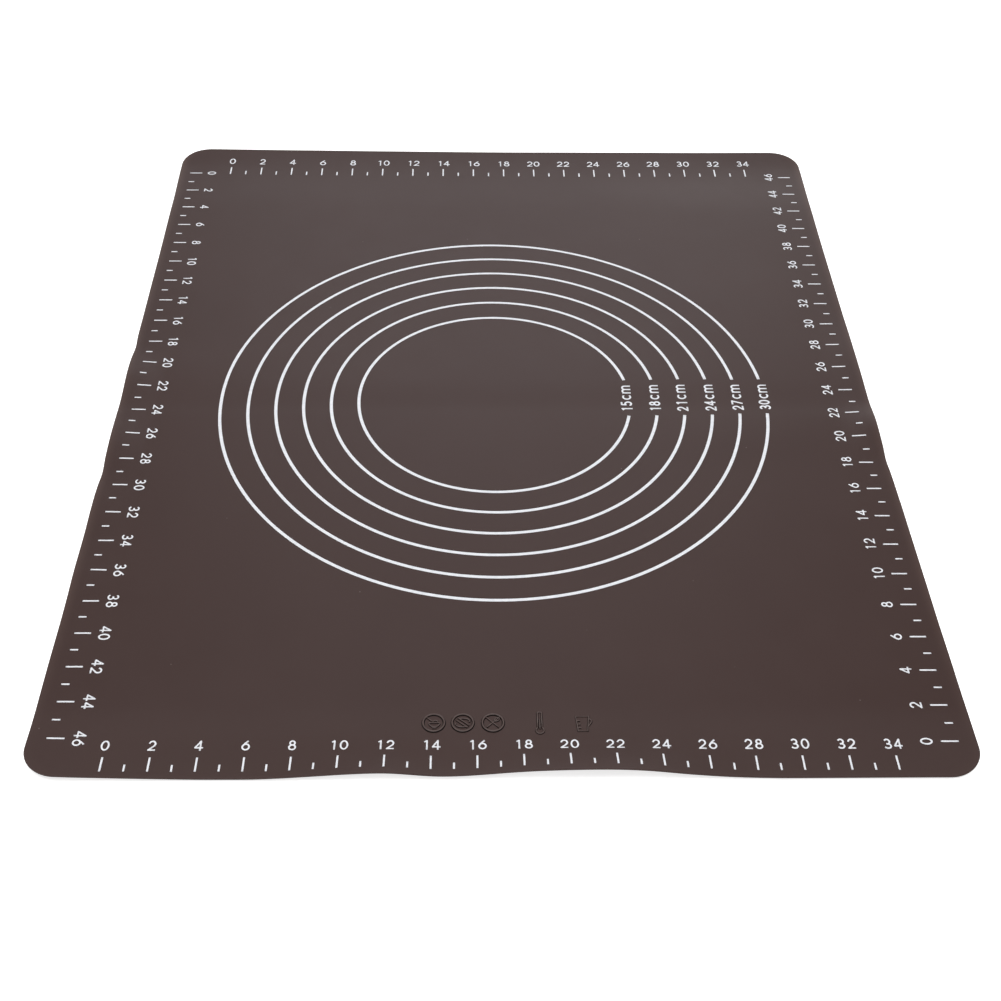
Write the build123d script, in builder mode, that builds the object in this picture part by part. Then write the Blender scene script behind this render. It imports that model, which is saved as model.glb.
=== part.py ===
from build123d import *
import os

os.makedirs("parts", exist_ok=True)

# A silicone baking mat in millimetres: one flat moulded sheet and the guide marks printed on it.
# X is its width, Y runs from front to back, and the underside lies on Z = 0.
mat_width = 410.0
mat_length = 511.0
sheet_thickness = 0.8
corner_radius = 18.0
edge_radius = 0.25

# The rim ruffles up off the table in places, as a soft sheet does after it has been stored rolled.
rim_depth = 22.0
front_ruffle_height = 6.0
side_ruffle_height = 2.0

# Crests and dips along an edge, clockwise as seen from above. The first share is the place, in half
# lengths of that edge from its middle, and the second is the height, in ruffle heights.
front_ruffle_shares = [(-0.53, 0), (-0.185, 1), (0.13, 0.27), (0.26, 0.65), (0.55, 0)]
right_ruffle_shares = [(-0.3, 0), (-0.12, 0.35), (0.02, 0.2), (0.1, 1), (0.22, 0)]
left_ruffle_shares = [(-0.25, 0), (-0.14, 0.65), (-0.04, 0.25), (0.06, 0.9), (0.16, 0)]

# A ruffle's section from the flat sheet out to the edge: the heights of its four control points.
rise_shares = (0, 0, 0.85, 1)

# The print is silicone ink, a film that stands a little proud of the sheet.
ink_thickness = 0.08

# Guide circles for rolling dough, one every three centimetres. Each is broken for its label.
circle_labels = ("15cm", "18cm", "21cm", "24cm", "27cm", "30cm")
smallest_circle = 150.0
circle_step = 30.0
circle_line_width = 1.8
circles_shift_x = -1.4
circles_shift_y = -4.9
label_gap = 29.8
label_gap_shift = 2.6

# Rulers along the edges, with a mark every centimetre: a long one at each even number.
mark_pitch = 10.0
mark_line_width = 1.0
long_mark_length = 7.8
short_mark_length = 3.9

# How far the aligned ends of a ruler's marks lie from the edge that it measures.
front_mark_margin = 4.1
back_mark_margin = 30.2
side_mark_margin = 7.6

# Bare sheet beyond the ends of a ruler, and its shift from the middle of its edge, clockwise.
cross_ruler_clearance = 35.0
side_ruler_clearance = 25.5
front_ruler_shift = 1.7
back_ruler_shift = -2.3
left_ruler_shift = -3.9
right_ruler_shift = 6.1

# A plane at the middle of each edge: its X runs clockwise along the edge and its Y points outwards.
up = (0, 0, 1)
front_edge = Plane((0, -mat_length / 2, 0), x_dir=(-1, 0, 0), z_dir=up)
back_edge = Plane((0, mat_length / 2, 0), x_dir=(1, 0, 0), z_dir=up)
left_edge = Plane((-mat_width / 2, 0, 0), x_dir=(0, 1, 0), z_dir=up)
right_edge = Plane((mat_width / 2, 0, 0), x_dir=(0, -1, 0), z_dir=up)

# Each ruffled edge: its plane, its half length, its crests and dips, and their height.
ruffled_edges = (
    (front_edge, mat_width / 2, front_ruffle_shares, front_ruffle_height),
    (left_edge, mat_length / 2, left_ruffle_shares, side_ruffle_height),
    (right_edge, mat_length / 2, right_ruffle_shares, side_ruffle_height),
)


def ruffle_face(plane, half_length, start, end, base, ruffle_height):
    """A smooth face from one crest or dip of an edge to the next, flat where it leaves the sheet."""
    (start_place, start_share), (end_place, end_share) = start, end
    rows = []
    for step, height_share in enumerate((start_share, start_share, end_share, end_share)):
        along = (start_place + (end_place - start_place) * step / 3) * half_length
        row = []
        for step_out, rise_share in enumerate(rise_shares):
            out = (step_out / 3 - 1) * rim_depth
            height = base + rise_share * height_share * ruffle_height
            row.append(plane.from_local_coords(Vector(along, out, height)))
        rows.append(row)
    return Face.make_bezier_surface(rows)


def layer(base, thickness):
    """A layer of even thickness that covers the whole mat and follows its ruffles."""
    with BuildPart() as covering:
        with BuildSketch(Plane.XY.offset(base)):
            RectangleRounded(mat_width, mat_length, corner_radius)
        extrude(amount=thickness)
        for plane, half_length, shares, ruffle_height in ruffled_edges:
            first, last = shares[0][0] * half_length, shares[-1][0] * half_length
            with BuildSketch(plane.offset(base)):
                with Locations(((first + last) / 2, -rim_depth / 2)):
                    Rectangle(last - first, rim_depth)
            extrude(amount=thickness, mode=Mode.SUBTRACT)
            for start, end in zip(shares, shares[1:]):
                face = ruffle_face(plane, half_length, start, end, base, ruffle_height)
                extrude(face, amount=thickness, dir=up)
    return covering.part


# The sheet: its upper edge is a little rounded all the way round, as it leaves the mould.
with BuildPart() as mat_sheet:
    add(layer(0, sheet_thickness))
    side_faces = mat_sheet.faces().filter_by(lambda face: abs(face.normal_at(0.5, 0.5).Z) < 0.01)
    upper_faces = mat_sheet.faces().filter_by(lambda face: face.normal_at(0.5, 0.5).Z > 0.5)
    fillet(side_faces.edges() & upper_faces.edges(), radius=min(edge_radius, sheet_thickness / 2))
mat_sheet.part.label = "mat_sheet"
export_step(mat_sheet.part, "parts/mat_sheet.step")

# Everything printed is cut from one film of ink that lies on the sheet.
ink_film = layer(sheet_thickness, ink_thickness)
print_reach = front_ruffle_height + side_ruffle_height + sheet_thickness + 2 * ink_thickness

# The guide circles: the nominal diameter is the outside of the line.
for circle_index, circle_label in enumerate(circle_labels):
    diameter = smallest_circle + circle_index * circle_step
    with BuildPart() as guide_circle:
        with BuildSketch(Plane((circles_shift_x, circles_shift_y, 0))):
            Circle(diameter / 2)
            Circle(diameter / 2 - circle_line_width, mode=Mode.SUBTRACT)
            with Locations((diameter / 2, label_gap_shift)):
                Rectangle(label_gap, label_gap, mode=Mode.SUBTRACT)
        extrude(amount=print_reach)
        add(ink_film, mode=Mode.INTERSECT)
    guide_circle.part.label = f"guide_circle_{circle_label}"
    export_step(guide_circle.part, f"parts/guide_circle_{circle_label}.step")

# Each ruler: its name, plane, length, end clearance, shift, and the line its marks' ends share.
# The last number says which way the marks run from that line: inwards or outwards.
rulers = (
    ("front", front_edge, mat_width, cross_ruler_clearance, front_ruler_shift, front_mark_margin, -1),
    ("back", back_edge, mat_width, cross_ruler_clearance, back_ruler_shift, back_mark_margin, 1),
    ("left", left_edge, mat_length, side_ruler_clearance, left_ruler_shift, side_mark_margin, -1),
    ("right", right_edge, mat_length, side_ruler_clearance, right_ruler_shift, side_mark_margin, -1),
)

for name, plane, edge_length, clearance, shift, margin, side in rulers:
    last_mark = int((edge_length - 2 * clearance) / mark_pitch)
    for kind, first_mark, length in (("long", 0, long_mark_length), ("short", 1, short_mark_length)):
        places = [
            ((number - last_mark / 2) * mark_pitch + shift, side * length / 2 - margin)
            for number in range(first_mark, last_mark + 1, 2)
        ]
        with BuildPart() as ruler_marks:
            with BuildSketch(plane):
                with Locations(*places):
                    Rectangle(mark_line_width, length)
            extrude(amount=print_reach)
            add(ink_film, mode=Mode.INTERSECT)
        marks_name = f"{name}_ruler_{kind}_marks"
        ruler_marks.part.label = marks_name
        export_step(ruler_marks.part, f"parts/{marks_name}.step")
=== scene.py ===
import math

import bpy
from mathutils import Matrix, Vector, geometry


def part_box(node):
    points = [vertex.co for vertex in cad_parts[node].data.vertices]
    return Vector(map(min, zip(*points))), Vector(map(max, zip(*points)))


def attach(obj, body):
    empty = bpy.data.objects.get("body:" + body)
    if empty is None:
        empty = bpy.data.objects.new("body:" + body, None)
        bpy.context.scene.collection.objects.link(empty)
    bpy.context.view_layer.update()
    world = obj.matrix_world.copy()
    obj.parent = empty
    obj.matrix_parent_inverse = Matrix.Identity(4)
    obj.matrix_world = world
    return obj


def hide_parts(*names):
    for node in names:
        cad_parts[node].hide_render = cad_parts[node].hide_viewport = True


# A silicone baking mat: a soft moulded sheet with raised figures, and the guide marks printed on it.
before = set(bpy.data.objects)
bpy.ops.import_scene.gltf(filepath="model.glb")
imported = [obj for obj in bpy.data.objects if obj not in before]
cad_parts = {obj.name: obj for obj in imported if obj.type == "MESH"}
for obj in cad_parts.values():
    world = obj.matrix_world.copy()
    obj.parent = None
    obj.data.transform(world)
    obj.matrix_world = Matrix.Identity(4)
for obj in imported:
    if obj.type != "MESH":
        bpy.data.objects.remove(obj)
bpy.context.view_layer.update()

mm = 0.001

# The sheet, as the frame has it.
sheet_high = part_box("mat_sheet")[1]
half_width = sheet_high.x
half_length = sheet_high.y
sheet_thickness = 0.8 * mm
upper_edge_radius = 0.25 * mm
lower_edge_radius = 0.12 * mm
rim_depth = 22 * mm

# The radius of each corner as it lies, by the sides on which it is: left or right, front or back.
corner_radii = {(-1, -1): 15.1 * mm, (1, -1): 15.2 * mm, (-1, 1): 18.2 * mm, (1, 1): 18.1 * mm}

# The sheet's mesh: its cells over the flat middle, and its steps across the rim.
cell_size = 3.0 * mm
rim_steps = 16

# Crests and dips of the rim, in millimetres: a place along the edge and the height there.
front_waves = ((-112.8, 0), (-53.3, 3.9), (-26.7, 1.62), (37.9, 6.0), (108.7, 0))
left_waves = (
    (-155, 0), (-135, 0.6), (-110, 0.1), (-85, 0.6), (-63.9, 0),
    (-35.8, 1.3), (-10.2, 0.5), (15.3, 1.8), (40.9, 0),
)
right_waves = ((-56.2, 0), (-25.6, 1.8), (-5.1, 0.4), (30.7, 0.7), (76.7, 0))
back_waves = ((-206, 1.1), (-120, 0.5), (0, 0.2), (120, 0.3), (206, 0.9))

# How a ruffle rises from the flat sheet out to the edge, as in the frame's own sheet.
rise_share = 0.85

# The front and the back rim curl up a little along their whole length, and every edge has a fine lip.
rim_curl_reach = 40 * mm
front_rim_curl = 1.0 * mm
back_rim_curl = 0.8 * mm
lip_reach = 4 * mm
lip_height = 0.2 * mm

# The front left corner curls up: where the curl begins, how far it reaches in, its height, and the power
# by which it grows towards the corner.
curl_start = -127 * mm
curl_reach = 60 * mm
curl_height = 2.8 * mm
curl_power = 1.3

# Low bands across the whole sheet, left by its fold, in millimetres: a place in Y and the height.
fold_waves = ((-75, 0), (-19, 0.14), (-11, 0), (13, 0.2), (70, 0), (120, 0), (184, 0.4), (228, 0))

# Low swells behind the side ruffles: the middle, the reach in X and Y, and the height.
swells = (
    (Vector((-205, 25)) * mm, 55 * mm, 16 * mm, 0.38 * mm),
    (Vector((205, -23)) * mm, 45 * mm, 15 * mm, 0.3 * mm),
    (Vector((138, -36)) * mm, 45 * mm, 18 * mm, 0.27 * mm),
)

# Where a side edge is drawn in a little: which side, the place in Y, and by how much.
nips = ((-1, -65 * mm, 0.5 * mm), (-1, 40 * mm, 0.5 * mm), (1, -55 * mm, 0.5 * mm))
nip_length = 7 * mm
nip_reach = 10 * mm

# How far an edge lies out of its straight line, outwards, in millimetres, and how far in that reaches.
left_draws = (
    (-256, 0), (-230, 0), (-200, 0.4), (-160, 0), (-100, -0.15), (-60, -0.5), (20, -0.6), (60, -0.45),
    (120, -0.3), (190, 0), (230, 0.65), (256, 0.5),
)
right_draws = (
    (-256, 0.7), (-230, 0.65), (-200, 0.35), (-160, 0), (-100, -0.25), (-60, -0.6), (-20, -0.75),
    (30, -0.35), (60, -0.1), (150, 0.1), (190, 0.35), (230, 0.9), (256, 0.8),
)
front_draws = (
    (-206, 0), (-180, 0.3), (-80, 0.5), (-50, 0.3), (-25, 0.4), (5, -0.15), (35, 0.3), (60, 0),
    (80, 0.3), (100, 0.35), (120, 0.7), (180, 0.6), (206, 0.6),
)
back_draws = (
    (-206, -1.5), (-130, -1.5), (-80, -1.9), (10, -2.1), (60, -1.8), (110, -1.5), (206, -1.5),
)
draw_reach = 6 * mm

# The painted glow of the sheet's thin edge, a lighter brown that stands in for light: how far in it begins
# and is full, the round of the corners that it follows, the power by which it grows, and its share along the
# front and the back edge. It also fades to a share towards the front, where the rim turns away from the
# light.
rim_glow_reach = 5.5 * mm
rim_glow_full = 0.5 * mm
rim_round = 17 * mm
rim_glow_power = 1.7
cross_rim_glow = 0.5
front_rim_glow = 0.15
front_fade_start = -140 * mm
front_fade_end = -235 * mm

# Bands across the sheet that are rougher or smoother than the rest, in millimetres: the middle in Y, how
# far they reach, and the roughness that they add at the middle.
matt_bands = ((-241, 27, 0.2), (-5, 18, 0.035), (208, 28, -0.035), (250, 26, 0.05))

# The ink film: its height, the round of its shoulders, and how far it goes into the sheet. A shoulder's
# points are shares of its own width, inwards, and of the film's height.
ink_thickness = 0.08 * mm
ink_shoulder = 0.12 * mm
ink_shoulder_shares = ((0, 0.6), (0.4, 0.92), (1, 1))
print_sink = 0.03 * mm

# The guide circles.
circle_labels = ("15cm", "18cm", "21cm", "24cm", "27cm", "30cm")
circles_middle = Vector((-1.45, -5.0)) * mm
smallest_radius = 74.8 * mm
radius_step = 14.93 * mm
circle_line_width = 1.7 * mm
circle_step = math.radians(1)

# The gap for a label: where its front and back ends lie, in millimetres, circle by circle.
gap_fronts = (-19.0, -18.7, -18.4, -18.0, -17.1, -16.8)
gap_backs = (11.3, 11.9, 12.4, 12.4, 12.1, 12.5)

# Labels run from front to back. Each has the place in X of the line on which it stands and the places
# in Y of the middles of its digits and letters, in millimetres.
label_height = 6.2 * mm
label_line_width = 0.98 * mm
label_lines = (73.7, 89.2, 104.1, 119.6, 134.5, 149.5)
label_places = (
    (-13.5, -8.8, -3.3, 3.3), (-13.3, -8.5, -3.0, 3.8), (-12.9, -8.3, -2.7, 4.1),
    (-12.6, -7.9, -2.6, 4.2), (-11.9, -7.7, -2.3, 4.2), (-11.7, -7.2, -1.9, 4.4),
)
label_width_share = 0.84
small_letter_share = 0.81

# The rulers: a mark every centimetre, and a number at every even one.
mark_pitch = 10 * mm
mark_line_width = 0.85 * mm
long_mark_length = 7.65 * mm
short_mark_length = 3.65 * mm
number_line_width = 0.77 * mm
number_width_share = 0.93
digit_pitch = 4.5 * mm

# How strokes are laid out, in millimetres and degrees: places nearer than this are one, the step along a
# stroke, the turn from which on it gets a disc, the step round a disc, and how near the corners of areas
# that overlap are joined.
nearness = 1e-6
stroke_step = 0.9
sharp_turn = math.radians(4)
disc_step = 24
corner_nearness = 1e-4

# Raised figures: the widths and heights of the ridges that draw them, and the middle of their row. The
# points of a ridge's flank are shares of half its width and of its height.
ring_ridge = (1.45 * mm, 0.5 * mm)
fine_ridge = (0.95 * mm, 0.4 * mm)
low_ridge = (1.05 * mm, 0.3 * mm)
ridge_flank_shares = ((0.93, 0.12), (0.52, 0.9), (0.44, 1))
figures_y = -226.15 * mm

# The silicone: its two browns, the lighter brown of the painted glow on its thin edge, the dust on it, and
# how it takes the light.
dark_brown = (0.0484, 0.0252, 0.0216)
light_brown = (0.0519, 0.0275, 0.0237)
painted_edge_glow_brown = (0.077, 0.044, 0.036)
dust_colour = (0.13, 0.1, 0.095)
silicone_roughness = (0.39, 0.43)
silicone_ior = 1.41
silicone_specular = 0.42

# The raised figures' tops, with a painted highlight in lighter browns, and their flanks, with painted shade
# in a near-black brown and a duller sheen. The slopes are how far a face looks up where a top ends and where
# a flank begins.
painted_highlight_browns = ((0.085, 0.056, 0.05), (0.1, 0.067, 0.06))
relief_roughness = 0.42
flank_slopes = (0.98, 0.85)
painted_shade_flank_brown = (0.008, 0.0055, 0.005)
flank_specular = 0.15

# The ink, where it lies thin and where it covers in full.
thin_ink = (0.76, 0.78, 0.83)
full_ink = (0.87, 0.885, 0.92)
ink_roughness = (0.42, 0.55)
ink_ior = 1.43

# The dust: cells to the metre, a speck's radius in cells, and the share of cells that have none.
dust_cells = 75
speck_radius = 0.025
clean_share = 0.72

# The floor: how far it reaches, its height, its paint, the strength of its glow under the mat and far
# away, and the distances between which that changes.
floor_reach = 12.0
floor_height = -0.02 * mm
floor_paint = (0.8, 0.8, 0.8)
floor_glow = (0.75, 0.86)
floor_glow_fade = (0.8, 3.0)

# The world's even light, how high its white horizon reaches, and where that has faded into the rest.
sky_strength = 0.23
white_horizon = math.radians(9)
horizon_fades = math.radians(22)

# The softboxes: name, place, width and height, in metres, power in watts, and colour.
softboxes = (
    ("top_softbox", (-0.12, -0.3, 2.2), 1.6, 1.6, 40.4, (1, 1, 1)),
    ("back_softbox", (0, 1.8, 1.35), 1.2, 0.9, 5.65, (0.99, 1.0, 1.05)),
    ("side_softbox", (0.7, 1.6, 0.6), 0.8, 0.6, 1.4, (1, 1, 1)),
)

# The view of the photograph, a square one.
camera_place = Vector((-16.7, -619.8, 512.3)) * mm
camera_pitch = math.radians(46.277)
camera_yaw = math.radians(-1.845)
camera_roll = math.radians(1.314)
camera_lens = 52.447
camera_sensor = 36.0


def eased(share):
    """From 0 to 1, level at both ends."""
    share = min(1.0, max(0.0, share))
    return share * share * (3 - 2 * share)


def wave_height(waves, place):
    """The height at a place, eased from one crest or dip to the next. Waves are in millimetres."""
    for (start, low), (end, high) in zip(waves, waves[1:]):
        if start * mm <= place <= end * mm:
            share = (place / mm - start) / (end - start)
            return (low + (high - low) * eased(share)) * mm
    return 0.0


def rise(from_edge):
    """How much of a ruffle's height is reached at a distance from the edge."""
    share = 1 - from_edge / rim_depth
    if share <= 0:
        return 0.0
    share = min(share, 1.0)
    return 3 * rise_share * share ** 2 * (1 - share) + share ** 3


def from_outline(x, y):
    """How far inside the outline a place of the flat sheet is, or the corner's radius at the most."""
    corner = corner_at(x, y)
    if corner:
        return corner[1] - (Vector((x, y)) - corner[0]).length
    return min(half_width - abs(x), half_length - abs(y))


def lift(x, y):
    """How high the underside lies over the table at a place of the flat sheet."""
    height = rise(half_length + y) * wave_height(front_waves, x)
    height += rise(half_length - y) * wave_height(back_waves, x)
    height += rise(half_width + x) * wave_height(left_waves, y)
    height += rise(half_width - x) * wave_height(right_waves, y)
    height += wave_height(fold_waves, y)
    height += front_rim_curl * max(0.0, 1 - (half_length + y) / rim_curl_reach) ** 2
    height += back_rim_curl * max(0.0, 1 - (half_length - y) / rim_curl_reach) ** 2
    height += lip_height * max(0.0, 1 - from_outline(x, y) / lip_reach) ** 2
    across = (curl_start - x) / (half_width + curl_start)
    inward = 1 - (half_length + y) / curl_reach
    if across > 0 and inward > 0:
        height += curl_height * min(across, 1) ** curl_power * eased(inward)
    for middle, reach_x, reach_y, swell_height in swells:
        off = ((x - middle.x) / reach_x) ** 2 + ((y - middle.y) / reach_y) ** 2
        height += swell_height * math.exp(-off)
    return height


def placed(x, y, up):
    """A point of the mat where it lies: its place on the flat sheet and its height in the sheet."""
    shift_x = shift_y = 0.0
    for side, middle, depth in nips:
        off = ((y - middle) / nip_length) ** 2
        shift_x -= side * depth * math.exp(-off - max(0.0, half_width - side * x) / nip_reach)
    for side, draws in ((-1, left_draws), (1, right_draws)):
        shift_x += side * wave_height(draws, y) * math.exp((side * x - half_width) / draw_reach)
    for side, draws in ((-1, front_draws), (1, back_draws)):
        shift_y += side * wave_height(draws, x) * math.exp((side * y - half_length) / draw_reach)
    return Vector((x + shift_x, y + shift_y, lift(x, y) + up))


def corner_at(x, y):
    """The middle and radius of the round corner that holds a place, or None."""
    side_x, side_y = (1 if x > 0 else -1), (1 if y > 0 else -1)
    radius = corner_radii[side_x, side_y]
    middle = Vector((side_x * (half_width - radius), side_y * (half_length - radius)))
    if side_x * (x - middle.x) > 0 and side_y * (y - middle.y) > 0:
        return middle, radius
    return None


def rounded(x, y):
    """A place of the plain rectangle moved to the sheet with round corners."""
    corner = corner_at(x, y)
    if not corner:
        return Vector((x, y))
    out = Vector((x, y)) - corner[0]
    return corner[0] + out * (max(abs(out.x), abs(out.y)) / out.length)


def edge_place(x, y, inset):
    """A place on the line that runs a little inside the outline, from a place of the rectangle."""
    corner = corner_at(x, y)
    if corner:
        out = (Vector((x, y)) - corner[0]).normalized()
        return corner[0] + out * (corner[1] - inset)
    if half_width - abs(x) < half_length - abs(y):
        return Vector((math.copysign(half_width - inset, x), y))
    return Vector((x, math.copysign(half_length - inset, y)))


def grid_lines(half):
    """Grid lines from edge to edge: close in the rim, wider over the flat middle."""
    insets = [upper_edge_radius, 3 * upper_edge_radius]
    insets += [rim_depth * (step + 1) / rim_steps for step in range(rim_steps)]
    middle = half - rim_depth
    count = round(2 * middle / cell_size)
    inner = [-middle + 2 * middle * step / count for step in range(1, count)]
    return [inset - half for inset in insets] + inner + [half - inset for inset in reversed(insets)]


def quarter(inset_from, height_from, turn, radius, steps):
    """Inset and height of the points of a rounded edge, a quarter turn of them."""
    points = []
    for step in range(1, steps + 1):
        angle = turn + math.pi / 2 * step / steps
        points.append((inset_from - radius * math.sin(angle), height_from + radius * math.cos(angle)))
    return points


def new_piece(name, verts, faces, material, slot_name):
    """A mesh piece of the mat in its place, with smooth faces that look outwards."""
    mesh = bpy.data.meshes.new(name)
    mesh.from_pydata([tuple(v) for v in verts], [], faces)
    mesh.validate()
    for polygon in mesh.polygons:
        polygon.use_smooth = True
    mesh.materials.append(material)
    piece = bpy.data.objects.new(name, mesh)
    bpy.context.scene.collection.objects.link(piece)
    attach(piece, "root")
    return piece


def make_sheet(material):
    """The sheet: one upper and one lower grid, joined round the outline by a rounded edge."""
    xs, ys = grid_lines(half_width), grid_lines(half_length)
    columns, rows = len(xs), len(ys)
    verts, faces = [], []
    for up in (sheet_thickness, 0.0):
        for y in ys:
            for x in xs:
                flat = rounded(x, y)
                verts.append(placed(flat.x, flat.y, up))
    lower = columns * rows
    for row in range(rows - 1):
        for column in range(columns - 1):
            first = row * columns + column
            face = (first, first + 1, first + columns + 1, first + columns)
            faces.append(face)
            faces.append(tuple(lower + index for index in reversed(face)))

    rim = [(column, 0) for column in range(columns - 1)]
    rim += [(columns - 1, row) for row in range(rows - 1)]
    rim += [(column, rows - 1) for column in range(columns - 1, 0, -1)]
    rim += [(0, row) for row in range(rows - 1, 0, -1)]
    edge = quarter(upper_edge_radius, sheet_thickness - upper_edge_radius, 0, upper_edge_radius, 4)
    edge.append((0.0, lower_edge_radius))
    edge += quarter(lower_edge_radius, lower_edge_radius, math.pi / 2, lower_edge_radius, 2)
    loops = [[row * columns + column for column, row in rim]]
    for inset, up in edge:
        loop = []
        for column, row in rim:
            flat = edge_place(xs[column], ys[row], inset)
            loop.append(len(verts))
            verts.append(placed(flat.x, flat.y, up))
        loops.append(loop)
    loops.append([lower + index for index in loops[0]])
    for upper_loop, lower_loop in zip(loops, loops[1:]):
        for here in range(len(rim)):
            after = (here + 1) % len(rim)
            faces.append((upper_loop[after], upper_loop[here], lower_loop[here], lower_loop[after]))
    return new_piece("baking_mat_sheet", verts, faces, material, "silicone")


def sweep(verts, faces, points, profile, closed=False):
    """Adds a strip with a given section that follows a line over the sheet. The section is a list of
    distances to the left of the line and heights over the sheet, from one side to the other."""
    start, size = len(verts), len(profile)
    count = len(points)
    for index, point in enumerate(points):
        before = points[index - 1] if index or closed else points[0]
        after = points[(index + 1) % count] if index < count - 1 or closed else points[-1]
        ahead = (after - before).normalized()
        left = Vector((-ahead.y, ahead.x))
        for across, up in profile:
            flat = point + left * across
            verts.append(placed(flat.x, flat.y, sheet_thickness + up))
    for index in range(count if closed else count - 1):
        here, there = start + index * size, start + (index + 1) % count * size
        for step in range(size):
            after = (step + 1) % size
            faces.append((here + step, here + after, there + after, there + step))
    if not closed:
        faces.append(tuple(start + step for step in reversed(range(size))))
        faces.append(tuple(start + (count - 1) * size + step for step in range(size)))


def ink_profile(width):
    """The section of a printed line: a thin film with soft shoulders."""
    half = width / 2
    points = [(half, -print_sink)]
    points += [(half - inward * ink_shoulder, up * ink_thickness) for inward, up in ink_shoulder_shares]
    return points + [(-across, up) for across, up in reversed(points)]


def ridge_profile(width, height):
    """The section of a raised line of the mould: a ridge with sloping sides and a flat top."""
    half = width / 2
    points = [(half, -print_sink)]
    points += [(across * half, up * height) for across, up in ridge_flank_shares]
    return points + [(-across, up) for across, up in reversed(points)]


def straight(start, end, step):
    """Evenly spaced points from start to end."""
    count = max(1, math.ceil((end - start).length / step))
    return [start.lerp(end, index / count) for index in range(count + 1)]


def arc(middle, radius_x, radius_y, start, end, step=15):
    """Points of an ellipse's arc, from one angle to another in degrees."""
    count = max(1, math.ceil(abs(end - start) / step))
    points = []
    for index in range(count + 1):
        angle = math.radians(start + (end - start) * index / count)
        across, up = radius_x * math.cos(angle), radius_y * math.sin(angle)
        points.append(Vector((middle[0] + across, middle[1] + up)))
    return points


def polyline(*points):
    return [Vector(point) for point in points]


def bend(start, control, end, count=8):
    """A line that bows from start to end towards a control point."""
    a, b, c = Vector(start), Vector(control), Vector(end)
    shares = [index / count for index in range(count + 1)]
    return [a * (1 - s) ** 2 + b * 2 * s * (1 - s) + c * s ** 2 for s in shares]


# The middle lines of the plain digits and letters. A digit is 1 high, with its middle at X = 0.
glyph_strokes = {
    "0": [arc((0, 0.5), 0.33, 0.5, 90, 450)],
    "1": [polyline((-0.09, 0.89), (0.09, 0.99), (0.09, 0))],
    "2": [arc((0, 0.695), 0.29, 0.305, 160, -48) + polyline((-0.33, 0), (0.27, 0))],
    "3": [
        arc((-0.03, 0.745), 0.25, 0.255, 138, -90) + polyline((-0.04, 0.49)),
        polyline((-0.04, 0.49)) + arc((-0.03, 0.25), 0.31, 0.25, 88, -140),
    ],
    "4": [polyline((0.14, 0), (0.14, 1), (-0.36, 0.26), (0.33, 0.26))],
    "5": [polyline((0.21, 1), (-0.16, 1), (-0.21, 0.57)) + arc((-0.01, 0.32), 0.34, 0.32, 122, -138)],
    "6": [arc((0, 0.32), 0.33, 0.32, 90, 450), bend((0.15, 0.95), (-0.2, 0.66), (-0.33, 0.34))],
    "7": [polyline((-0.23, 1), (0.31, 1), (-0.13, 0))],
    "8": [arc((0, 0.77), 0.235, 0.23, 90, 450), arc((0, 0.27), 0.31, 0.27, 90, 450)],
    "c": [arc((0, 0.5), 0.44, 0.5, 60, 300)],
    "m": [
        polyline((-0.71, 0), (-0.71, 0.92)),
        polyline((-0.71, 0.6)) + arc((-0.355, 0.62), 0.355, 0.38, 180, 0) + polyline((0, 0)),
        polyline((0, 0.6)) + arc((0.355, 0.62), 0.355, 0.38, 180, 0) + polyline((0.71, 0)),
    ],
}


def same_place(first, second):
    """Whether two places are one."""
    return (first - second).length < nearness


def capped(points, reach):
    """A line with both of its open ends drawn out."""
    if same_place(points[0], points[-1]):
        return points
    first = points[0] + (points[0] - points[1]).normalized() * reach
    last = points[-1] + (points[-1] - points[-2]).normalized() * reach
    return [first, *points[1:-1], last]


def stroke_areas(points, width, step):
    """Quads along a line and discs at its sharp turns, which together cover the stroke."""
    areas = []
    for start, end in zip(points, points[1:]):
        if same_place(start, end):
            continue
        left = Vector((start.y - end.y, end.x - start.x)).normalized() * width / 2
        cuts = straight(start, end, step)
        for near, far in zip(cuts, cuts[1:]):
            areas.append([near + left, near - left, far - left, far + left])
    closed = same_place(points[0], points[-1])
    for before, here, after in zip(points, points[1:], points[2:] + (points[1:2] if closed else [])):
        if same_place(before, here) or same_place(here, after):
            continue
        if (here - before).angle(after - here) > sharp_turn:
            areas.append(arc(here, width / 2, width / 2, 0, 360 - disc_step, disc_step))
    if closed:
        areas.append(arc(points[0], width / 2, width / 2, 0, 360 - disc_step, disc_step))
    return areas


def film(verts, faces, areas):
    """Adds one closed film of ink over overlapping areas of the flat sheet, in millimetres."""
    corners, outlines = [], []
    for area in areas:
        outlines.append(list(range(len(corners), len(corners) + len(area))))
        corners += area
    points, _, cells, _, _, sources = geometry.delaunay_2d_cdt(corners, [], outlines, 1, corner_nearness)
    covered = [cell for cell, source in zip(cells, sources) if source]
    start, count = len(verts), len(points)
    for up in (ink_thickness, -print_sink):
        verts += [placed(point.x * mm, point.y * mm, sheet_thickness + up) for point in points]
    sides = {}
    for cell in covered:
        faces.append(tuple(start + index for index in cell))
        faces.append(tuple(start + count + index for index in reversed(cell)))
        for here, there in zip(cell, cell[1:] + cell[:1]):
            sides[here, there] = True
    for here, there in sides:
        if (there, here) not in sides:
            faces.append((start + there, start + here, start + count + here, start + count + there))


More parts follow.
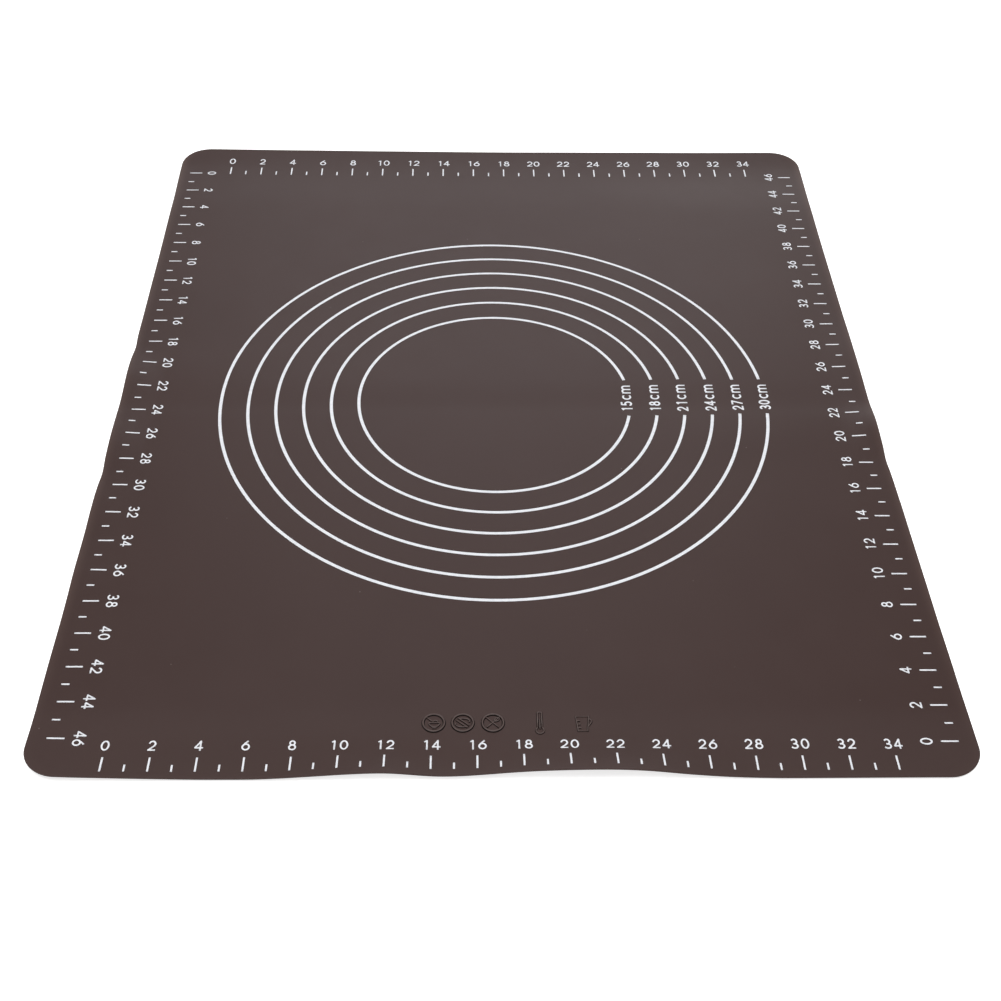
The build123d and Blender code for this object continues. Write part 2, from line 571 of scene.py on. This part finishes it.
def set_glyph(verts, faces, name, middle, turn, height, line_width, width_share, centred=False):
    """Prints one digit or letter. The middle of its foot is given in metres, its turn in radians."""
    span = (height - line_width) / mm
    foot = line_width / 2 / mm
    spin = Matrix.Rotation(turn, 2)
    strokes = []
    for stroke in glyph_strokes[name]:
        local = [Vector((p.x * span * width_share, p.y * span + foot)) for p in stroke]
        strokes.append(capped(local, foot))
    across = [point.x for stroke in strokes for point in stroke]
    aside = Vector(((min(across) + max(across)) / 2 if centred else 0.0, 0.0))
    areas = []
    for stroke in strokes:
        moved = [spin @ (point - aside) + middle / mm for point in stroke]
        areas += stroke_areas(moved, line_width / mm, stroke_step)
    film(verts, faces, areas)


def set_number(verts, faces, text, middle, turn, height):
    """Prints a ruler's number, in cells of one width, about the middle of its height."""
    spin = Matrix.Rotation(turn, 2)
    for index, digit in enumerate(text):
        along = (index - (len(text) - 1) / 2) * digit_pitch
        foot = middle + spin @ Vector((along, -height / 2))
        set_glyph(verts, faces, digit, foot, turn, height, number_line_width, number_width_share)


def make_circle(index, material):
    """One guide circle, broken for its label."""
    radius = smallest_radius + index * radius_step - circle_line_width / 2
    start = math.asin((gap_backs[index] * mm - circles_middle.y) / radius)
    end = 2 * math.pi + math.asin((gap_fronts[index] * mm - circles_middle.y) / radius)
    count = round((end - start) / circle_step)
    angles = [start + (end - start) * step / count for step in range(count + 1)]
    points = [circles_middle + radius * Vector((math.cos(a), math.sin(a))) for a in angles]
    verts, faces = [], []
    sweep(verts, faces, points, ink_profile(circle_line_width))
    label = circle_labels[index]
    piece = new_piece(f"printed_circle_{label}", verts, faces, material, "print")
    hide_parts(f"guide_circle_{label}")
    return piece


def make_labels(material):
    """The sizes of the guide circles, which read from front to back in the gaps."""
    verts, faces = [], []
    turn = math.pi / 2
    for label, line, places in zip(circle_labels, label_lines, label_places):
        for glyph, place in zip(label, places):
            share, width_share = (small_letter_share, 1.0) if glyph in "cm" else (1.0, label_width_share)
            foot = Vector((line, place)) * mm
            height = label_height * share
            set_glyph(verts, faces, glyph, foot, turn, height, label_line_width, width_share, True)
    return new_piece("printed_circle_labels", verts, faces, material, "print")


# Each ruler: the foot of its first mark, the way its numbers run, the way its marks point, how its
# numbers are turned, its last number, how far the numbers' middles lie from the feet of the marks, their
# height, and a factor for the length of its marks. The print was stretched a little as the sheet was
# laid: the drifts say by how much in X and in Y, by the place along the ruler, in millimetres.
rulers = {
    "front": {
        "zero": Vector((-171.7, -251.6)) * mm, "run": Vector((1, 0)), "mark": Vector((0, 1)), "turn": 0.0,
        "last": 34, "number_off": 13.75 * mm, "number_height": 5.5 * mm, "mark_stretch": 0.97,
        "drift_x": (
            (-180, 0.45), (-130, 0.25), (-70, 0.1), (-10, -0.3), (70, -0.65), (120, -0.5), (175, 0.15),
        ),
        "drift_y": (
            (-180, -0.9), (-150, -0.5), (-120, -0.1), (-80, -0.3), (90, -0.3), (130, -0.15), (175, -0.35),
        ),
    },
    "back": {
        "zero": Vector((-172.3, 225.3)) * mm, "run": Vector((1, 0)), "mark": Vector((0, 1)), "turn": 0.0,
        "last": 34, "number_off": 15.15 * mm, "number_height": 5.95 * mm, "mark_stretch": 1.07,
        "drift_x": ((-180, -0.1), (60, 0), (110, 0.2), (175, 0.7)),
        "drift_y": (
            (-180, 0.4), (-140, -0.1), (-105, -0.5), (70, -0.5), (100, 0), (135, 0.4), (175, 0.9),
        ),
    },
    "left": {
        "zero": Vector((-197.4, 226.1)) * mm, "run": Vector((0, -1)), "mark": Vector((1, 0)),
        "turn": -math.pi / 2,
        "last": 46, "number_off": 13.95 * mm, "number_height": 5.5 * mm, "mark_stretch": 1.0,
        "drift_x": (
            (-240, 0.6), (-180, 0.25), (-20, 0.05), (30, -0.25), (130, -0.45), (200, -0.65), (230, -1.1),
        ),
        "drift_y": (
            (-240, -1.3), (-212, -0.2), (-195, 0.1), (-80, 0.1), (-50, 0), (-30, -0.3), (-8, -0.85),
            (20, -0.6), (110, -0.65), (170, -1.05), (200, -0.8), (215, -0.3), (230, 0.6),
        ),
    },
    "right": {
        "zero": Vector((197.4, -236.1)) * mm, "run": Vector((0, 1)), "mark": Vector((-1, 0)),
        "turn": math.pi / 2,
        "last": 46, "number_off": 14.05 * mm, "number_height": 5.5 * mm, "mark_stretch": 1.0,
        "drift_x": (
            (-240, 0), (-170, -0.35), (0, -0.42), (80, -0.2), (160, -0.3), (200, -0.15), (230, 0.15),
        ),
        "drift_y": (
            (-240, -0.8), (-190, -0.65), (-130, -0.3), (-80, 0), (-50, 0), (-36, 0.45), (-24, 0.1),
            (-6, -0.6), (14, -0.25), (40, 0.35), (130, 0.3), (165, 0.05), (195, 0.15), (215, 0.8),
            (230, 1.3),
        ),
    },
}


def make_ruler(name, ruler, material):
    """The marks and numbers of one ruler."""
    marks = {"long": ([], []), "short": ([], [])}
    numbers = ([], [])
    for number in range(ruler["last"] + 1):
        kind = "short" if number % 2 else "long"
        length = short_mark_length if number % 2 else long_mark_length
        foot = ruler["zero"] + ruler["run"] * number * mark_pitch
        along = foot.y if ruler["run"].y else foot.x
        foot += Vector((wave_height(ruler["drift_x"], along), wave_height(ruler["drift_y"], along)))
        line = straight(foot, foot + ruler["mark"] * length * ruler["mark_stretch"], mm)
        sweep(*marks[kind], line, ink_profile(mark_line_width))
        if number % 2 == 0:
            middle = foot + ruler["mark"] * ruler["number_off"]
            set_number(*numbers, str(number), middle, ruler["turn"], ruler["number_height"])
    pieces = []
    for kind, (verts, faces) in marks.items():
        piece = new_piece(f"printed_{name}_{kind}_marks", verts, faces, material, "print")
        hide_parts(f"{name}_ruler_{kind}_marks")
        pieces.append(piece)
    pieces.append(new_piece(f"printed_{name}_numbers", *numbers, material, "print"))
    return pieces


# Raised kitchen figures, drawn in millimetres about their own middles.
figure_ring = [arc((0, 0), 4.65, 4.65, 0, 360, 10)]
bowl = [
    arc((0.3, 0), 2.4, 2.3, 180, 360) + polyline((-2.1, 0)),
    polyline((-0.7, -2.9), (1.3, -2.9)),
    polyline((-3.0, 2.8), (-0.5, 0.7)),
    bend((-0.4, 0.6), (1.2, 1.9), (1.7, 0.5)),
]
rolling_pin = [
    polyline((-2.0, 2.6), (2.9, -1.5), (2.0, -2.6), (-2.9, 1.5), (-2.0, 2.6)),
    arc((0, 0.9), 3.0, 1.5, -25, 118),
    arc((-0.1, -0.9), 3.0, 1.5, 155, 298),
]
crossed_tools = [
    polyline((-3.0, 3.0), (3.0, -3.0)),
    polyline((-2.9, -2.7), (0.6, 0.7)),
    bend((0.6, 0.7), (0.8, 3.2), (2.7, 2.7)),
    bend((0.6, 0.7), (3.3, 0.9), (2.7, 2.7)),
    polyline((0.6, 0.7), (2.7, 2.7)),
]
spoon = [
    polyline((-0.95, -2.7), (-0.95, 5.2)) + arc((0, 5.2), 0.95, 0.6, 180, 0)[1:]
    + polyline((0.95, -2.7)),
    arc((0, -4.25), 1.75, 1.75, 58, -238),
    polyline((0, -3.6), (0, 1.6)),
]
jug = [
    polyline((-3.3, 3.3), (-2.5, -4.7), (1.6, -4.7), (2.4, 3.3), (-3.3, 3.3)),
    bend((2.2, 2.0), (4.9, 1.4), (1.9, -2.0)),
    polyline((-3.1, 0.9), (-1.5, 0.9)),
    polyline((-2.9, -1.0), (-1.3, -1.0)),
    polyline((-2.7, -2.9), (-1.1, -2.9)),
]

# Each figure: its place in X, its lines, and the width and height of its ridge.
figures = (
    (-31.0, figure_ring, ring_ridge),
    (-31.0, bowl, fine_ridge),
    (-18.3, figure_ring, ring_ridge),
    (-18.3, rolling_pin, fine_ridge),
    (-5.1, figure_ring, ring_ridge),
    (-5.1, crossed_tools, fine_ridge),
    (15.4, spoon, low_ridge),
    (34.6, jug, low_ridge),
)


def make_figures(material):
    """The raised figures of the mould, as low ridges on the sheet."""
    verts, faces = [], []
    for middle_x, strokes, ridge in figures:
        for stroke in strokes:
            moved = [point * mm + Vector((middle_x * mm, figures_y)) for point in stroke]
            closed = same_place(stroke[0], stroke[-1])
            sweep(verts, faces, moved[:-1] if closed else moved, ridge_profile(*ridge), closed)
    return new_piece("raised_figures", verts, faces, material, "silicone")


def new_material(name):
    """A material with only a Principled shader, and a way to add nodes to it."""
    material = bpy.data.materials.new(name)
    material.use_nodes = True
    nodes, links = material.node_tree.nodes, material.node_tree.links
    return material, nodes, links, nodes["Principled BSDF"]


def add_noise(nodes, links, place, scale, detail, roughness=0.5):
    """A noise over the object's own place, in features to the metre."""
    noise = nodes.new("ShaderNodeTexNoise")
    noise.inputs["Scale"].default_value = scale
    noise.inputs["Detail"].default_value = detail
    noise.inputs["Roughness"].default_value = roughness
    links.new(place, noise.inputs["Vector"])
    return noise.outputs["Fac"]


def add_ramp(nodes, links, value, stops):
    """Colours for a value, as stops of a place and a colour."""
    ramp = nodes.new("ShaderNodeValToRGB")
    ramp.color_ramp.elements[0].position = stops[0][0]
    ramp.color_ramp.elements[0].color = (*stops[0][1], 1)
    ramp.color_ramp.elements[1].position = stops[1][0]
    ramp.color_ramp.elements[1].color = (*stops[1][1], 1)
    links.new(value, ramp.inputs["Fac"])
    return ramp.outputs["Color"]


def add_range(nodes, links, value, low, high, to_low, to_high, interpolation="LINEAR"):
    """A value stretched from one range to another."""
    stretch = nodes.new("ShaderNodeMapRange")
    stretch.interpolation_type = interpolation
    for name, number in (("From Min", low), ("From Max", high), ("To Min", to_low), ("To Max", to_high)):
        stretch.inputs[name].default_value = number
    links.new(value, stretch.inputs["Value"])
    return stretch.outputs["Result"]


def add_maths(nodes, links, operation, *values):
    """A calculation with sockets and numbers."""
    maths = nodes.new("ShaderNodeMath")
    maths.operation = operation
    for index, value in enumerate(values):
        if isinstance(value, (int, float)):
            maths.inputs[index].default_value = value
        else:
            links.new(value, maths.inputs[index])
    return maths.outputs["Value"]


def add_mix(nodes, links, share, colour, other):
    """A colour that turns into another one, given as numbers, by a share."""
    mix = nodes.new("ShaderNodeMix")
    mix.data_type = "RGBA"
    mix.inputs["B"].default_value = (*other, 1)
    links.new(share, mix.inputs["Factor"])
    links.new(colour, mix.inputs["A"])
    return mix.outputs["Result"]


def add_bump(nodes, links, height, shader, strength, distance):
    """A fine relief on a shader's surface."""
    bump = nodes.new("ShaderNodeBump")
    bump.inputs["Strength"].default_value = strength
    bump.inputs["Distance"].default_value = distance
    links.new(height, bump.inputs["Height"])
    links.new(bump.outputs["Normal"], shader.inputs["Normal"])


def add_rim_share(nodes, links, place):
    """0 over the sheet and 1 at its outline, where the thin edge gets a painted glow that stands in for
    light.
    """
    parts = nodes.new("ShaderNodeSeparateXYZ")
    links.new(place, parts.inputs["Vector"])
    over = []
    for name, half in (("X", half_width), ("Y", half_length)):
        out = add_maths(nodes, links, "ABSOLUTE", parts.outputs[name])
        out = add_maths(nodes, links, "SUBTRACT", out, half - rim_round)
        over.append(add_maths(nodes, links, "MAXIMUM", out, 0.0))
    squares = [add_maths(nodes, links, "MULTIPLY", value, value) for value in over]
    reach = add_maths(nodes, links, "SQRT", add_maths(nodes, links, "ADD", *squares))
    share = add_range(nodes, links, reach, rim_round - rim_glow_reach, rim_round - rim_glow_full, 0.0, 1.0)
    share = add_maths(nodes, links, "POWER", share, rim_glow_power)
    sideways = add_range(nodes, links, over[0], 0.0, rim_round, cross_rim_glow, 1.0)
    share = add_maths(nodes, links, "MULTIPLY", share, sideways)
    fade = add_range(nodes, links, parts.outputs["Y"], front_fade_end, front_fade_start, front_rim_glow, 1.0)
    return add_maths(nodes, links, "MULTIPLY", share, fade)


def add_specks(nodes, links, place):
    """1 in a few tiny specks of dust that lie here and there, and 0 elsewhere."""
    cells = nodes.new("ShaderNodeTexVoronoi")
    cells.inputs["Scale"].default_value = dust_cells
    links.new(place, cells.inputs["Vector"])
    near = add_maths(nodes, links, "LESS_THAN", cells.outputs["Distance"], speck_radius)
    parts = nodes.new("ShaderNodeSeparateColor")
    links.new(cells.outputs["Color"], parts.inputs["Color"])
    chosen = add_maths(nodes, links, "GREATER_THAN", parts.outputs["Red"], clean_share)
    return add_maths(nodes, links, "MULTIPLY", near, chosen)


def make_silicone():
    """Matt brown silicone: a fine mould grain, a faint cloudiness, a satin sheen and a painted glow along
    its edge.
    """
    material, nodes, links, shader = new_material("brown_silicone")
    place = nodes.new("ShaderNodeTexCoord").outputs["Object"]
    clouds = add_noise(nodes, links, place, scale=14, detail=4, roughness=0.55)
    colour = add_ramp(nodes, links, clouds, ((0.3, dark_brown), (0.7, light_brown)))
    # Painted glow: near the outline the colour turns a lighter, redder brown that stands in for light on the
    # thin edge.
    colour = add_mix(nodes, links, add_rim_share(nodes, links, place), colour, painted_edge_glow_brown)
    colour = add_mix(nodes, links, add_specks(nodes, links, place), colour, dust_colour)
    links.new(colour, shader.inputs["Base Color"])
    patches = add_noise(nodes, links, place, scale=55, detail=5, roughness=0.6)
    roughness = add_range(nodes, links, patches, 0.3, 0.7, *silicone_roughness)
    parts = nodes.new("ShaderNodeSeparateXYZ")
    links.new(place, parts.inputs["Vector"])
    for middle, reach, extra in matt_bands:
        off = add_maths(nodes, links, "SUBTRACT", parts.outputs["Y"], middle * mm)
        off = add_maths(nodes, links, "ABSOLUTE", off)
        band = add_range(nodes, links, off, 0.0, reach * mm, extra, 0.0, "SMOOTHSTEP")
        roughness = add_maths(nodes, links, "ADD", roughness, band)
    links.new(roughness, shader.inputs["Roughness"])
    shader.inputs["IOR"].default_value = silicone_ior
    shader.inputs["Specular IOR Level"].default_value = silicone_specular
    grain = add_noise(nodes, links, place, scale=2600, detail=3, roughness=0.6)
    add_bump(nodes, links, grain, shader, strength=0.25, distance=0.05 * mm)
    return material


def make_relief_silicone():
    """The same silicone where it stands up in lines: a painted highlight on the tops and painted shade on
    the flanks.
    """
    material, nodes, links, shader = new_material("relief_silicone")
    place = nodes.new("ShaderNodeTexCoord").outputs["Object"]
    # Painted highlight: the tops get lighter browns. Painted shade: faces that look up less get a near-black
    # brown and less sheen.
    top_highlight_noise = add_noise(nodes, links, place, scale=300, detail=3)
    painted_lit_tops = add_ramp(nodes, links, top_highlight_noise, ((0.3, painted_highlight_browns[0]), (0.7, painted_highlight_browns[1])))
    parts = nodes.new("ShaderNodeSeparateXYZ")
    links.new(nodes.new("ShaderNodeNewGeometry").outputs["True Normal"], parts.inputs["Vector"])
    painted_shade_flank = add_range(nodes, links, parts.outputs["Z"], *flank_slopes, 0.0, 1.0)
    links.new(add_mix(nodes, links, painted_shade_flank, painted_lit_tops, painted_shade_flank_brown), shader.inputs["Base Color"])
    specular = add_range(nodes, links, painted_shade_flank, 0.0, 1.0, silicone_specular, flank_specular)
    links.new(specular, shader.inputs["Specular IOR Level"])
    shader.inputs["Roughness"].default_value = relief_roughness
    shader.inputs["IOR"].default_value = silicone_ior
    return material


def make_ink():
    """Cool white silicone ink, a little uneven where the screen laid it thinner."""
    material, nodes, links, shader = new_material("white_ink")
    place = nodes.new("ShaderNodeTexCoord").outputs["Object"]
    cover = add_noise(nodes, links, place, scale=420, detail=4, roughness=0.6)
    colour = add_ramp(nodes, links, cover, ((0.25, thin_ink), (0.6, full_ink)))
    links.new(colour, shader.inputs["Base Color"])
    links.new(add_range(nodes, links, cover, 0.3, 0.7, *ink_roughness), shader.inputs["Roughness"])
    shader.inputs["IOR"].default_value = ink_ior
    grain = add_noise(nodes, links, place, scale=3200, detail=2)
    add_bump(nodes, links, grain, shader, strength=0.2, distance=0.03 * mm)
    return material


def add_seen_rays(nodes, links):
    """1 for rays from the camera, from gloss and through glass, and 0 for the rest."""
    rays = nodes.new("ShaderNodeLightPath").outputs
    seen = add_maths(nodes, links, "MAXIMUM", rays["Is Camera Ray"], rays["Is Glossy Ray"])
    return add_maths(nodes, links, "MAXIMUM", seen, rays["Is Transmission Ray"])


def make_floor():
    """A plain white floor that keeps a soft shadow. It lies a hair under the sheet."""
    mesh = bpy.data.meshes.new("floor")
    sides = ((-1, -1), (1, -1), (1, 1), (-1, 1))
    corners = [(x * floor_reach, y * floor_reach, floor_height) for x, y in sides]
    mesh.from_pydata(corners, [], [(0, 1, 2, 3)])
    floor = bpy.data.objects.new("floor", mesh)
    bpy.context.scene.collection.objects.link(floor)
    material = bpy.data.materials.new("white_floor")
    material.use_nodes = True
    nodes, links = material.node_tree.nodes, material.node_tree.links
    nodes.clear()
    paint = nodes.new("ShaderNodeBsdfDiffuse")
    paint.inputs["Color"].default_value = (*floor_paint, 1)
    glow = nodes.new("ShaderNodeEmission")
    away = nodes.new("ShaderNodeVectorMath")
    away.operation = "LENGTH"
    links.new(nodes.new("ShaderNodeTexCoord").outputs["Object"], away.inputs[0])
    strength = add_range(nodes, links, away.outputs["Value"], *floor_glow_fade, *floor_glow, "SMOOTHSTEP")
    strength = add_maths(nodes, links, "MULTIPLY", add_seen_rays(nodes, links), strength)
    links.new(strength, glow.inputs["Strength"])
    both = nodes.new("ShaderNodeAddShader")
    links.new(paint.outputs["BSDF"], both.inputs[0])
    links.new(glow.outputs["Emission"], both.inputs[1])
    output = nodes.new("ShaderNodeOutputMaterial")
    links.new(both.outputs["Shader"], output.inputs["Surface"])
    mesh.materials.append(material)


def make_world():
    """Even light from all round, and a white horizon behind the floor where the world itself is seen."""
    world = bpy.data.worlds.new("studio")
    world.use_nodes = True
    bpy.context.scene.world = world
    nodes, links = world.node_tree.nodes, world.node_tree.links
    background = nodes["Background"]
    background.inputs["Color"].default_value = (1, 1, 1, 1)
    parts = nodes.new("ShaderNodeSeparateXYZ")
    links.new(nodes.new("ShaderNodeTexCoord").outputs["Generated"], parts.inputs["Vector"])
    low, high = math.sin(white_horizon), math.sin(horizon_fades)
    horizon = add_range(nodes, links, parts.outputs["Z"], low, high, 1.0, 0.0, "SMOOTHSTEP")
    white = add_maths(nodes, links, "MULTIPLY", add_seen_rays(nodes, links), horizon)
    strength = add_range(nodes, links, white, 0.0, 1.0, sky_strength, 1.0)
    links.new(strength, background.inputs["Strength"])


def add_softbox(name, place, size, size_y, power, colour):
    """A soft rectangular lamp that looks at the middle of the mat."""
    lamp = bpy.data.lights.new(name, "AREA")
    lamp.color = colour
    lamp.shape = "RECTANGLE"
    lamp.size = size
    lamp.size_y = size_y
    lamp.energy = power
    softbox = bpy.data.objects.new(name, lamp)
    softbox.location = place
    softbox.rotation_euler = (Vector() - Vector(place)).to_track_quat("-Z", "Y").to_euler()
    bpy.context.scene.collection.objects.link(softbox)


def make_camera():
    camera = bpy.data.cameras.new("camera")
    camera.lens = camera_lens
    camera.sensor_width = camera_sensor
    camera.sensor_fit = "AUTO"
    holder = bpy.data.objects.new("camera", camera)
    turn = Matrix.Rotation(camera_yaw, 4, "Z") @ Matrix.Rotation(camera_pitch, 4, "X")
    turn = turn @ Matrix.Rotation(camera_roll, 4, "Z")
    holder.matrix_world = Matrix.Translation(camera_place) @ turn
    bpy.context.scene.collection.objects.link(holder)
    bpy.context.scene.camera = holder


silicone = make_silicone()
ink = make_ink()

sheet = make_sheet(silicone)
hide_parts("mat_sheet")
prints = [make_circle(index, ink) for index in range(len(circle_labels))]
prints.append(make_labels(ink))
for ruler_name, ruler in rulers.items():
    prints += make_ruler(ruler_name, ruler, ink)
raised = make_figures(make_relief_silicone())

make_floor()
make_world()
for softbox in softboxes:
    add_softbox(*softbox)
make_camera()
bpy.context.scene.view_settings.view_transform = "Standard"
